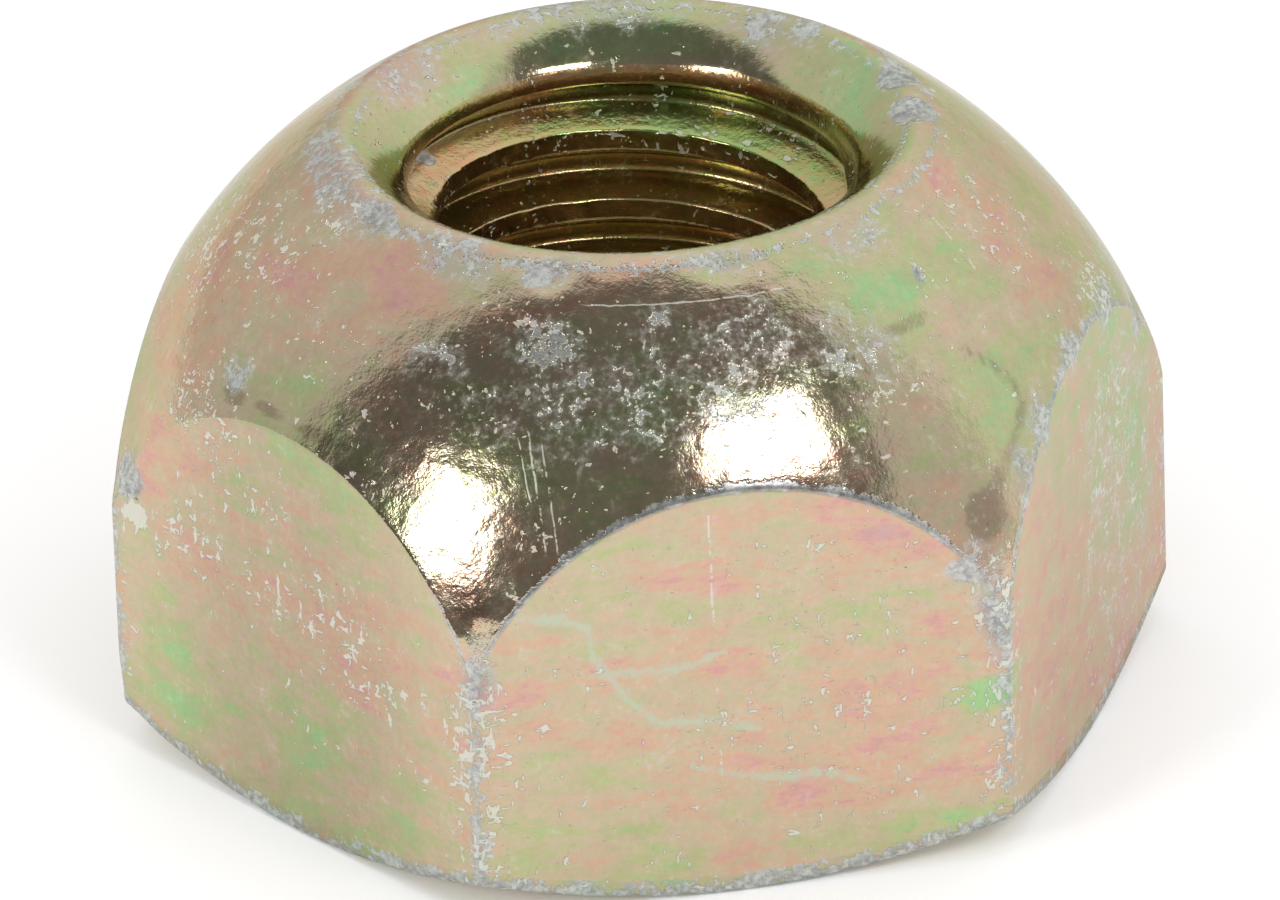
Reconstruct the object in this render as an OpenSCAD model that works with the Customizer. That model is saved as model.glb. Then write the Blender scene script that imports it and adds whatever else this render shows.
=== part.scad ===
// Ball seat nut: a short hex nut whose top is turned to a ball, with a
// rolled lip round the mouth of the threaded hole. One solid piece.
// Rests on its flat base at z = 0, the hole's axis is +Z. Sizes in mm.

/* [Hex body] */
// Distance across the hex flats
across_flats = 19.05; // [18:0.05:20.5]
// Overall height, base to the ridge round the mouth
height = 12.7; // [12:0.05:15]
// Diameter of the flat bearing circle under the nut
base_flat_d = 18.8; // [14:0.05:18.9]
// Angle of the turned chamfer round the base, from the base plane
base_chamfer_angle = 30; // [15:1:40]

/* [Ball seat] */
// Radius of the ball turned on the top
ball_r = 11.24; // [10.9:0.02:13]
// Diameter of the ridge where the ball meets the mouth lip
ridge_d = 11.7; // [11.2:0.05:12]
// Radius of the rolled lip, in section
lip_r = 3.4; // [2.6:0.05:5]
// Inward slope of the lip where it leaves the ridge, in degrees
lip_slope = 24; // [10:1:30]

/* [Threaded hole] */
// Major diameter of the internal thread
thread_d = 9.525; // [8:0.005:9.8]
// Thread pitch
thread_pitch = 1.5875; // [1:0.0005:1.8]
// Thread engagement left by the tap drill, percent of a full thread
thread_engagement = 77; // [60:1:100]
// Diameter of the plain throat above the first thread
throat_d = 9.08; // [8.9:0.02:10]
// Depth of the throat's lower end below the ridge
throat_depth = 1.5; // [1.4:0.05:3]
// Slope of the step from throat to thread, from the base plane
throat_step_angle = 30; // [20:1:60]

/* [Base countersink] */
// Diameter of the countersink under the nut
base_sink_d = 10.3; // [9.9:0.05:12]
// Slope of the countersink, from the base plane
base_sink_angle = 30; // [20:1:60]

/* [Hidden] */
// Overshoot that carries each cut clear of the body
cut_clear = 2;
// Diameter taken off by a full thread, in pitches
full_thread = 1.299;
flat_r = across_flats / 2;
corner_r = flat_r / cos(30);
base_flat_r = base_flat_d / 2;
ridge_r = ridge_d / 2;
throat_r = throat_d / 2;
base_sink_r = base_sink_d / 2;
bore_r = (thread_d - full_thread * thread_pitch * thread_engagement / 100) / 2;
// The ball's centre sits so that its ridge comes out at the overall height
ball_center_z = height - sqrt(ball_r * ball_r - ridge_r * ridge_r);
// The lip's centre lies under the ridge, along the lip's own normal there
lip_center_r = ridge_r + lip_r * sin(lip_slope);
lip_center_z = height - lip_r * cos(lip_slope);
base_chamfer_h = (ball_r - base_flat_r) * tan(base_chamfer_angle);
throat_floor_z = height - throat_depth;
thread_top_z = throat_floor_z - (throat_r - bore_r) * tan(throat_step_angle);
base_sink_h = (base_sink_r - bore_r) * tan(base_sink_angle);
base_sink_out_r = base_sink_r + cut_clear / tan(base_sink_angle);
steel = [0.76, 0.69, 0.52];

// Half section of the turned outside: chamfered foot below, ball above
module turned_section() {
    polygon([[0, 0], [base_flat_r, 0], [ball_r, base_chamfer_h],
             [ball_r, ball_center_z], [0, ball_center_z]]);
    intersection() {
        translate([0, ball_center_z]) circle(r = ball_r, $fn = 96);
        translate([0, ball_center_z]) square([ball_r + cut_clear, ball_r + cut_clear]);
    }
}

// Half section of everything cut out round the axis
module hole_section() {
    // rolled lip, down to where its arc has come in as far as the throat
    difference() {
        translate([0, throat_floor_z])
            square([lip_center_r, throat_depth + cut_clear]);
        translate([lip_center_r, lip_center_z]) circle(r = lip_r, $fn = 96);
    }
    // countersink, tapped bore and throat
    polygon([[0, -cut_clear], [base_sink_out_r, -cut_clear], [bore_r, base_sink_h],
             [bore_r, thread_top_z], [throat_r, throat_floor_z],
             [throat_r, height + cut_clear], [0, height + cut_clear]]);
}

module nut() {
    color(steel)
    difference() {
        intersection() {
            cylinder(r = corner_r, h = height + cut_clear / 2, $fn = 6);
            rotate_extrude($fn = 144) turned_section();
        }
        rotate_extrude($fn = 144) hole_section();
    }
}

nut();
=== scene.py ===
# %% [markdown]
# # Ball seat nut
#
# A ball seat nut is one piece of steel: a short hex nut whose top is turned to a ball, so that it
# centres itself in a dished hole. The hole is tapped right through, and a rolled lip leads into it.
# The whole nut is zinc plated and passivated yellow, and it has knocked about in a bin with others.
#
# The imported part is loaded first. It fixes the frame, and its box says how large everything is.

# %% Load the part
from math import asin, cos, pi, radians, sin, sqrt, tan

import bmesh
import bpy
import numpy as np
from mathutils import Matrix, Vector, noise


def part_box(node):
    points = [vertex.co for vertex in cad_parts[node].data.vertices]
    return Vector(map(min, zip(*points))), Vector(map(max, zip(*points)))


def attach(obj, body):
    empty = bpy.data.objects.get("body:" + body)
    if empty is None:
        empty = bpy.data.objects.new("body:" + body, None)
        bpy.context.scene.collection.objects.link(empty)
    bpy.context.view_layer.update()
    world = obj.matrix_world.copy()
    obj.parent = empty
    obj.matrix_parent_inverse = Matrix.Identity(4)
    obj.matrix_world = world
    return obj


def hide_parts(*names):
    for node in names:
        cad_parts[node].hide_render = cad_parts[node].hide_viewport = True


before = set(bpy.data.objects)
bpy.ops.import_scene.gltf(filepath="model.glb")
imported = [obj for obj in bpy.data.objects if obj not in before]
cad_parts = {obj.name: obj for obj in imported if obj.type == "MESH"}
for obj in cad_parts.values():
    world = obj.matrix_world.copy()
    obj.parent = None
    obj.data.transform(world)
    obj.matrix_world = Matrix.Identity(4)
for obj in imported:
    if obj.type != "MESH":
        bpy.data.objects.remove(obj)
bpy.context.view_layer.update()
MM = 0.001
low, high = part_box("nut")
HEIGHT = (high[2] - low[2]) / MM
FLAT_R = (high[1] - low[1]) / 2 / MM
print(f"part loaded: {2 * FLAT_R:.2f} mm across flats, {HEIGHT:.2f} mm high")

# %% [markdown]
# ## The nut's own sizes
#
# The body comes from three cuts that share one axis: the hex bar, the ball and the base chamfer.
# Only the box is read from the part, so the turned sizes are named here again, in millimetres.
# The thread is a coarse 60 degree one, cut with a tap after the bore. Its crests are as wide as the
# tap drill left them, and its upper flanks stand a little steeper.

# %% Driving sizes, in millimetres
BALL_R = 11.24
RIDGE_R = 5.85
LIP_R = 3.4
LIP_SLOPE = radians(24)
BASE_FLAT_R = 9.4
CHAMFER = radians(30)
SINK_R = 5.15
SINK_SLOPE = radians(30)
THROAT_R = 4.54
THROAT_FLOOR = HEIGHT - 1.5
THROAT_SLOPE = radians(30)
THREAD_R = 4.7625
PITCH = 1.5875
BORE_R = 3.9686
HALF_V = radians(30)
UPPER_SLOPE = radians(22)
CREST = 0.44

BALL_Z = HEIGHT - sqrt(BALL_R**2 - RIDGE_R**2)
LIP_CENTRE_R = RIDGE_R + LIP_R * sin(LIP_SLOPE)
LIP_CENTRE_Z = HEIGHT - LIP_R * cos(LIP_SLOPE)
HALF_FACE = radians(30)
CORNER_R = FLAT_R / cos(HALF_FACE)
THREAD_DEEP = THREAD_R - BORE_R
LOWER_FLANK = THREAD_DEEP * tan(HALF_V)
UPPER_FLANK = THREAD_DEEP * tan(UPPER_SLOPE)
ROOT = PITCH - CREST - LOWER_FLANK - UPPER_FLANK
print(f"ball centre {BALL_Z:.2f} mm up, thread root {ROOT:.2f} mm wide")


def ball_z(r):
    return BALL_Z + np.sqrt(BALL_R**2 - np.asarray(r) ** 2)


# %% [markdown]
# ## Columns round the axis
#
# A boolean would give this shape too, but it leaves long thin triangles and razor edges. Instead
# the nut is one grid wrapped round the axis. Its columns are spread along each flat, close together
# near the corners, with a few more round each corner, so every real edge has vertices on it.

# %% Columns of the grid
CORNER_ROUND = 0.13
FLAT_STEPS = 44
# columns on a flat mix even steps with steps that crowd towards the corners
EVEN = 0.45
CROWDED = 0.55
# angles in degrees: the columns on a corner's round, and the back corner where the grid closes
CORNER_TURNS = (0.0, 15.0)
SEAM = 120


def columns():
    """Angle and outer radius of each column, once round from the back corner, both ends kept."""
    half = (FLAT_R - CORNER_ROUND) * tan(HALF_FACE)
    centre = (FLAT_R - CORNER_ROUND) / cos(HALF_FACE)
    steps = np.linspace(-1, 1, FLAT_STEPS + 1)
    spread = half * (EVEN * steps + CROWDED * np.sin(steps * pi / 2))

    def on_corner(at, turn):
        """A point on the round of the corner that lies at this angle."""
        return (centre * cos(at) + CORNER_ROUND * cos(at + turn),
                centre * sin(at) + CORNER_ROUND * sin(at + turn))

    points = []
    for k in range(6):
        start, face = radians(SEAM + 60 * k), radians(SEAM + 60 * k + 30)
        end = start + radians(60)
        points += [on_corner(start, radians(turn)) for turn in CORNER_TURNS]
        points += [(FLAT_R * cos(face) - s * sin(face),
                    FLAT_R * sin(face) + s * cos(face)) for s in spread]
        points += [on_corner(end, -radians(turn)) for turn in reversed(CORNER_TURNS[1:])]
    points.append(points[0])
    x, y = np.array(points).T
    return np.unwrap(np.arctan2(y, x)), np.hypot(x, y)


theta, outer = columns()
theta += radians(SEAM) - theta[0]
print(f"{len(theta) - 1} columns")

# %% [markdown]
# ## Rows of the outside
#
# Going up a column, a vertex passes the base, its chamfer, the hex flat, the ball, the ridge and the
# lip, and goes down into the throat. Plating and tumbling have taken the sharpness off where two of
# these meet, so a short curve replaces the corner, no longer than its neighbours allow.

# %% Rows from base to throat
ARC_ROUND = 0.09
RIM_ROUND = 0.14
BASE_ROUND = 0.06
RIDGE_ROUND = 0.34
THROAT_ROUND = 0.2
# a round takes up no more than this share of the stretch next to it
LONGEST_ROUND = 0.42
THREAD_TOP = HEIGHT - 1.3
# how many rows each stretch and each round gets
STEPS = {"base": 7, "base round": 4, "chamfer": 3, "rim round": 5, "flat": 36, "arc round": 5,
         "ball": 58, "ridge round": 9, "lip": 22, "throat round": 5, "throat": 1}
ones = np.ones_like(outer)


def row(r, z):
    return np.stack([r * ones, z * ones])


def between(a, b, count):
    """Rows strictly between two rows, evenly spaced."""
    return [a + (b - a) * t for t in np.linspace(0, 1, count + 2)[1:-1]]


def rounded(a, corner, b, count):
    """Rows that replace a corner by a short curve from a to b, both ends kept."""
    share = np.linspace(0, 1, count)
    return [(1 - t) ** 2 * a + 2 * t * (1 - t) * corner + t**2 * b for t in share]


def toward(a, b, length):
    """The point that lies length from a towards b."""
    gap = np.hypot(*(b - a))
    return a + (b - a) * np.minimum(length / gap, LONGEST_ROUND)


def outside():
    """(rows, first row of each zone) from the countersink's edge up and over into the throat."""
    sink, base = row(SINK_R, 0), row(BASE_FLAT_R, 0)
    rim = row(outer, (outer - BASE_FLAT_R) * tan(CHAMFER))
    arc = row(outer, ball_z(outer))
    ridge = row(RIDGE_R, HEIGHT)
    rows, zones = [sink], {"base": 0}
    base_in, base_out = toward(base, sink, BASE_ROUND), toward(base, rim, BASE_ROUND)
    rows += between(sink, base_in, STEPS["base"])
    rows += rounded(base_in, base, base_out, STEPS["base round"])
    rim_low, rim_high = toward(rim, base, RIM_ROUND), toward(rim, arc, RIM_ROUND)
    zones["rim"] = len(rows)
    rows += between(base_out, rim_low, STEPS["chamfer"])
    rows += rounded(rim_low, rim, rim_high, STEPS["rim round"])
    zones["flat"] = len(rows)
    arc_low = toward(arc, rim, ARC_ROUND)
    rows += between(rim_high, arc_low, STEPS["flat"])
    # the ball, in equal steps of angle, from the arc to the ridge
    angle_out = np.arcsin(outer / BALL_R) - ARC_ROUND / BALL_R
    angle_in = asin(RIDGE_R / BALL_R) + RIDGE_ROUND / BALL_R
    angles = [angle_out + (angle_in - angle_out) * t for t in np.linspace(0, 1, STEPS["ball"])]
    ball = [row(BALL_R * np.sin(a), BALL_Z + BALL_R * np.cos(a)) for a in angles]
    rows += rounded(arc_low, arc, ball[0], STEPS["arc round"])[:-1]
    zones["ball"] = len(rows)
    rows += ball[:-1]
    # the lip's arc, from the ridge to the throat
    lip_in = -asin((LIP_CENTRE_R - THROAT_R) / LIP_R)
    lip_out = -LIP_SLOPE - RIDGE_ROUND / LIP_R
    lip_end = lip_in + THROAT_ROUND / LIP_R
    lip = [row(LIP_CENTRE_R + LIP_R * sin(a), LIP_CENTRE_Z + LIP_R * cos(a))
           for a in np.linspace(lip_out, lip_end, STEPS["lip"])]
    zones["lip"] = len(rows)
    rows += rounded(ball[-1], ridge, lip[0], STEPS["ridge round"])[:-1] + lip[:-1]
    edge = row(THROAT_R, LIP_CENTRE_Z + LIP_R * cos(lip_in))
    throat_top, throat_low = edge - row(0, THROAT_ROUND), row(THROAT_R, THREAD_TOP)
    rows += rounded(lip[-1], edge, throat_top, STEPS["throat round"])
    zones["throat"] = len(rows)
    rows += between(throat_top, throat_low, STEPS["throat"]) + [throat_low]
    return np.array(rows), zones


outer_rows, zones = outside()
print(f"{len(outer_rows)} rows outside, zones from {zones}")

# %% [markdown]
# ## The thread
#
# A screw thread can be made with the Screw modifier, but then it doesn't join the bore cleanly at
# its ends. Here the rows themselves climb: each row follows the helix, so crest and root are edges
# of the grid all the way round. Where the throat or the countersink was cut first, there is no
# metal left for a crest, so the larger of the two radii wins, and the thread runs out by itself.

# %% Rows of the thread
FIRST_CREST_Z = 10.55
FIRST_CREST_AT = radians(78.7)
EDGE_BREAK = 0.035
# the height over which a root that is cut into the throat fades out
FADE = 0.2


def thread_profile():
    """Height in one pitch and radius of each row, up from a crest's top edge to the next one's."""
    points = [(0, 0), (EDGE_BREAK * tan(UPPER_SLOPE) * 2, EDGE_BREAK)]
    points += [(UPPER_FLANK * t, THREAD_DEEP * t) for t in (0.2, 0.4, 0.6, 0.8, 0.94)]
    points += [(UPPER_FLANK + ROOT * t, THREAD_DEEP) for t in (0.1, 0.9)]
    down = UPPER_FLANK + ROOT + LOWER_FLANK
    points += [(down - LOWER_FLANK * t, THREAD_DEEP * t) for t in (0.93, 0.75, 0.5, 0.25)]
    points += [(down - EDGE_BREAK * tan(HALF_V), EDGE_BREAK)]
    points += [(down + CREST * t, 0) for t in (0.04, 0.16, 0.4, 0.72, 0.96)]
    return np.array(points)


def bored_radius(z):
    """The radius that the throat and the countersink leave at each height, without the thread."""
    throat = THROAT_R - np.maximum(THROAT_FLOOR - z, 0) / tan(THROAT_SLOPE)
    sink = SINK_R - z / tan(SINK_SLOPE)
    return np.maximum(np.maximum(throat, sink), BORE_R)


def inside():
    """Rows of the bore from the base to the thread's top, each following the helix."""
    profile = thread_profile()
    start = FIRST_CREST_Z + PITCH * (theta - FIRST_CREST_AT) / (2 * pi)
    turns = range(-int(HEIGHT / PITCH) - 2, 2)
    z = np.array([start + PITCH * k + up for k in turns for up, _ in profile])
    cut = np.array([BORE_R + out * ones for _ in turns for _, out in profile])
    fade = np.clip((z - THROAT_FLOOR) / FADE, 0, 1)
    cut = np.where(z > THROAT_FLOOR, THROAT_R + np.maximum(cut - THROAT_R, 0) * (1 - fade), cut)
    z = np.clip(z, 0, THREAD_TOP)
    radius = np.maximum(cut, bored_radius(z))
    radius = np.where(z >= THREAD_TOP, THROAT_R, radius)
    radius = np.where(z <= 0, SINK_R, radius)
    return np.stack([radius, z], axis=1)


inner_rows = inside()
print(f"{len(inner_rows)} rows in the bore, one turn in {PITCH} mm")

# %% [markdown]
# ## One closed mesh
#
# Both grids share their first and last rows, and their first and last columns, so merging the
# vertices that lie on each other closes the nut. Rows that ran past the ends of the bore fall on
# one line there and vanish in the same step.

# %% Build the mesh
def new_object(name, data):
    made = bpy.data.objects.new(name, data)
    bpy.context.scene.collection.objects.link(made)
    return made


# vertices closer than this are one, in millimetres
MERGE = 0.0005
# the finishes, in the order in which the mesh takes them
FLATS, BALL, LIP, THREAD, UNDERSIDE = range(5)


def zone_finish(i):
    """The finish of the faces above row i; it changes in the middle of a round."""
    if i < zones["flat"]:
        return UNDERSIDE
    if i < zones["ball"] - STEPS["arc round"] // 2:
        return FLATS
    if i < zones["lip"] + STEPS["ridge round"] // 2:
        return BALL
    if i < zones["throat"] - STEPS["throat round"] + 1:
        return LIP
    return THREAD


def grid_mesh(name, grids):
    """Joins grids, each with the finish of its rows, into one mesh, merged and facing out."""
    verts, faces, kinds = [], [], []
    for rows, finish in grids:
        base = len(verts)
        count = rows.shape[2]
        for r, z in rows:
            verts.extend(zip(r * np.cos(theta) * MM, r * np.sin(theta) * MM, z * MM))
        for i in range(len(rows) - 1):
            for j in range(count - 1):
                a = base + i * count + j
                faces.append((a, a + 1, a + count + 1, a + count))
                kinds.append(finish(i))
    mesh = bpy.data.meshes.new(name)
    mesh.from_pydata(verts, [], faces)
    mesh.polygons.foreach_set("material_index", kinds)
    bm = bmesh.new()
    bm.from_mesh(mesh)
    bmesh.ops.remove_doubles(bm, verts=bm.verts, dist=MERGE * MM)
    bmesh.ops.dissolve_degenerate(bm, edges=bm.edges, dist=MERGE * MM)
    bmesh.ops.recalc_face_normals(bm, faces=bm.faces)
    open_edges = sum(1 for e in bm.edges if len(e.link_faces) != 2)
    bm.to_mesh(mesh)
    bm.free()
    print(f"{name}: {len(mesh.vertices)} vertices, {len(mesh.polygons)} faces, {open_edges} open")
    return mesh


nut_mesh = grid_mesh("nut_body", [(outer_rows, zone_finish), (inner_rows, lambda i: THREAD)])
nut = new_object("nut_body", nut_mesh)

# %% [markdown]
# ## Distances to the edges
#
# Wear shows first on edges. Each vertex keeps its distance to the nearest hex corner, to the arcs
# where ball and flats meet, to the ridge and to the base rim, in millimetres. The finish reads
# these attributes, so its wear follows the real edges from any side.

# %% Store distances as attributes
# farther than any point of the nut
FAR = 99.0
# the arc on this flat lay sheltered and kept its film: its distance is taken as larger
LEFT_ARC = np.array((-8.25, -4.76, 8.6))
LEFT_ARC_REACH = 4.6
SHELTERED = 0.35


def points_of(mesh):
    """The mesh's vertices as rows of x, y and z, in millimetres."""
    co = np.empty(len(mesh.vertices) * 3)
    mesh.vertices.foreach_get("co", co)
    return co.reshape(-1, 3) / MM


def segment_distance(points, a, b):
    """Distance of each point to the segment from a to b."""
    along = np.clip(((points - a) @ (b - a)) / ((b - a) @ (b - a)), 0, 1)
    return np.linalg.norm(points - a - along[:, None] * (b - a), axis=1)


def store(mesh, name, values):
    made = mesh.attributes.new(name, "FLOAT", "POINT")
    made.data.foreach_set("value", values.astype(np.float32))


def edge_distances(mesh):
    co = points_of(mesh)
    r, angle = np.hypot(co[:, 0], co[:, 1]), np.arctan2(co[:, 1], co[:, 0])
    rim_z, arc_z = (CORNER_R - BASE_FLAT_R) * tan(CHAMFER), float(ball_z(CORNER_R))
    corner = np.full(len(co), FAR)
    for k in range(6):
        at = radians(60 * k)
        foot = np.array([CORNER_R * cos(at), CORNER_R * sin(at), 0])
        gap = segment_distance(co, foot + (0, 0, rim_z), foot + (0, 0, arc_z))
        corner = np.minimum(corner, gap)
    # on each flat the arc's height depends on the column alone
    face_off = angle % (pi / 3) - pi / 6
    edge_r = FLAT_R / np.cos(face_off)
    arc = np.hypot(edge_r - r, ball_z(edge_r) - co[:, 2])
    away = np.linalg.norm(co - LEFT_ARC, axis=1) / LEFT_ARC_REACH
    arc += SHELTERED * np.exp(-(away ** 4))
    rim = np.hypot(edge_r - r, (edge_r - BASE_FLAT_R) * tan(CHAMFER) - co[:, 2])
    ridge = np.hypot(r - RIDGE_R, co[:, 2] - HEIGHT)
    store(mesh, "corner_mm", corner)
    store(mesh, "arc_mm", arc)
    store(mesh, "ridge_mm", ridge)
    store(mesh, "rim_mm", rim)
    print(f"distances stored on {len(co)} vertices")


edge_distances(nut_mesh)

# %% [markdown]
# ## Marks that have a place
#
# Stains, rubs, dirt, painted shade on the side flats and in the first thread root, and clusters of
# pecks each belong to one spot; one cluster of pale pecks paints glints on a thread crest. Each is a
# middle and a reach, and the vertices store a soft field that falls away outside it. A smear of dirt
# and three dried runs follow lines, so those are points along them. The finishes break all of it up
# with noise. An image would do it too, but it needs a UV map and a file, and it blurs close up.

# %% Store the placed marks
# each mark is its middle and its reach in millimetres, and how much it does: a stain adds this much
# to the film's thickness
STAINS = [
    ((5.1, -9.5, 3.8), (0.75, 1, 0.4), -0.6),
    ((3.9, -9.5, 0.9), (1.6, 1, 0.45), -0.25),
    ((-4, -9.5, 6.2), (1, 1, 0.5), -0.2),
    ((1.3, -9.5, 8.1), (1.6, 1, 0.35), -0.25),
    ((2.6, -9.5, 7.9), (1.1, 1, 0.35), 0.16),
    ((-0.9, -9.5, 7.3), (0.8, 1, 0.3), 0.32),
    ((2.8, -9.5, 6), (1.8, 1, 0.5), -0.2),
    ((-2, -9.5, 5.4), (2.2, 1, 0.5), 0.12),
    ((-1.5, -9.5, 2), (3.5, 1, 1.6), 0.04),
    ((-10.2, -1.4, 2.6), (0.8, 1, 1.4), -0.2),
    ((-9.9, -2, 1.6), (0.8, 1.2, 0.5), -0.2),
    ((-9, -3.4, 1.5), (1, 1.5, 0.6), 0.15),
    ((-7, -7, 0.8), (1.6, 1.6, 0.4), -0.2),
    ((-8, -5, 5.5), (1.5, 2, 2.2), 0.1),
    ((-5.6, -3.9, 12), (1.1, 1.1, 0.55), 0.28),
    ((-7.4, -2.6, 11), (1.2, 1.6, 0.9), 0.18),
    ((-4.2, -4.9, 12.2), (1.6, 1.3, 0.6), -0.25),
    ((4.2, -6, 11.6), (1.8, 1.3, 0.8), -0.22),
    ((7.8, -4.3, 10), (0.9, 0.9, 1), 0.2),
    ((6.7, -3.8, 11.3), (1.3, 1.3, 0.9), 0.26),
    ((8.6, -1, 9.8), (0.8, 1.2, 1), 0.18),
    ((-8.6, 0.5, 10), (2.5, 3, 2), 0.16),
    ((-2.9, 3.9, 12), (1.6, 1.4, 0.8), -0.25),
    ((5.6, -7.4, 9.3), (1.1, 1.1, 1.3), -0.2),
    ((-1, -8, 10.6), (4, 3, 1.6), -0.16),
    ((9, -3.6, 4), (0.8, 1.6, 3), -0.12),
    ((9.4, -2.6, 4.5), (2, 4, 6), -0.07),
    ((9.9, -1.6, 4), (0.8, 1, 2.6), -0.2),
    ((1.2, 4.1, 10.7), (2.6, 1.5, 0.32), -0.42),
    ((3.7, 2.3, 10.45), (1.6, 2.2, 0.35), -0.45),
    ((-3.79, 3.83, 12.47), (1.2, 1.2, 0.4), 0.38),
    ((5.76, -3.08, 12.25), (0.6, 0.8, 0.35), 0.3),
    ((4.6, 1.6, 11.9), (1.2, 2.4, 0.9), -0.15),
    ((-4.6, 1, 12.1), (1.3, 2.2, 0.9), -0.14),
    ((0, 5, 12.3), (3, 1, 0.6), -0.12),
    ((0.5, 4.4, 11.55), (5, 1.6, 0.3), 0.2),
]
# how much of the film is gone
RUBS = [
    ((-2.9, -5.6, 12.45), (0.75, 0.4, 0.4), 0.72),
    ((0.6, -6.15, 12.5), (0.8, 0.35, 0.4), 0.66),
    ((-5.7, -2.3, 12.5), (0.45, 0.7, 0.45), 0.85),
    ((-6.2, 0, 12.4), (0.8, 2.6, 0.5), 0.66),
    ((-4.4, 4.3, 12.4), (1.7, 1.5, 0.5), 0.6),
    ((0.5, 6.2, 12.5), (3.4, 1, 0.6), 0.66),
    ((-8.9, -2.9, 9.6), (0.5, 0.7, 0.45), 0.66),
    ((9.4, -2.6, 4.5), (2, 4, 6), 0.36),
    ((0.5, 5.6, 12.6), (4.5, 1.3, 0.5), 0.42),
    ((4.4, 4.3, 12.5), (1.6, 1.5, 0.5), 0.64),
    ((-4.6, -4.4, 12.4), (1.2, 1.2, 0.4), 0.58),
    ((3.2, -5.6, 12.3), (1.8, 0.8, 0.4), 0.5),
    ((5.75, -0.7, 12.6), (0.55, 0.62, 0.5), 1.3),
    ((5.8, 0.85, 12.6), (0.5, 0.6, 0.5), 1.3),
    ((5.8, 2.3, 12.5), (0.5, 0.9, 0.4), 0.66),
    ((-3.2, -6.9, 11.4), (1.1, 0.9, 0.6), 0.6),
    ((-4.4, -7.3, 10.35), (1.3, 1, 0.5), 0.44),
    ((-2, -8.3, 10.3), (0.7, 0.8, 0.8), 0.46),
    ((-1, -7, 11.8), (0.5, 0.8, 0.9), 0.42),
    ((-1.2, -7.9, 10.7), (4.2, 1.8, 1.4), 0.46),
    ((0.8, -7.2, 11.4), (0.9, 0.8, 0.9), 0.56),
    ((-5.4, -6, 11), (0.8, 0.7, 0.4), 0.6),
    ((2.8, -7.5, 10.9), (1.4, 1, 1), 0.5),
    ((-10.8, -0.4, 6.3), (0.6, 0.7, 0.5), 1.2),
    ((-5.4, -9.4, 5.4), (0.5, 0.5, 1), 0.66),
    ((5.3, -9.45, 5.6), (0.55, 0.5, 1.2), 0.78),
    ((4.8, -9.5, 6.7), (0.6, 0.5, 0.5), 0.7),
    ((10.2, -1.4, 7.7), (0.5, 0.7, 0.6), 0.8),
    ((9.1, -3.1, 8.9), (0.6, 1.2, 0.5), 0.72),
    ((7.9, -5.3, 9.1), (0.8, 0.9, 0.4), 0.7),
    ((4.6, -5.9, 11.45), (0.16, 0.25, 0.35), 1),
    ((6.8, -7.1, 8.5), (0.45, 0.9, 0.8), 0.62),
    ((6.2, -8, 7.9), (0.4, 0.6, 0.8), 0.66),
    ((-3.77, 2.72, 11.05), (0.28, 0.28, 0.22), 1.3),
]
# how thick the dirt lies
DIRT = [
    ((-8.9, -3.1, 9.25), (0.4, 0.5, 0.2), 1.2),
    ((-8.4, -4.1, 9.35), (0.5, 0.5, 0.14), 1),
    ((-7.6, -5.4, 9.3), (0.7, 0.8, 0.18), 0.9),
    ((4.1, -6.9, 10.95), (0.8, 0.6, 0.16), 0.8),
    ((5.2, -8.9, 7.5), (0.65, 0.6, 0.6), 1),
    ((-5.3, -9, 7), (0.5, 0.5, 0.4), 1),
    ((4.25, 1.75, 10), (0.2, 0.2, 0.14), 1.3),
    ((0.75, -9.52, 5.08), (0.14, 0.3, 0.1), 1),
]
# a smear of dirt along the right arc: points on the ball, its half width and how thick it lies
SMEAR = [(5.3, -6.9, 10.2), (5.9, -6.8, 9.8), (6.5, -7.0, 9.05), (6.0, -7.9, 8.4), (5.35, -8.7, 7.8)]
SMEAR_WIDE = 0.25
SMEAR_THICK = 0.7
# painted shade: the share of brightness taken off the flats left and right of the front, which catch
# less light
SIDE_SHADE = [
    ((-8.25, -4.76, 4), (5, 3.5, 7), 0.2),
    ((8.25, -4.76, 4), (5, 3.5, 7), 0.1),
    ((9.6, 0, 4), (2.5, 4, 7), 0.1),
]
# painted shade in the first root of the thread, as a share of brightness, and the height where it
# starts
ROOT_SHADE = 0.55
FIRST_ROOT_Z = 10.0
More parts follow.
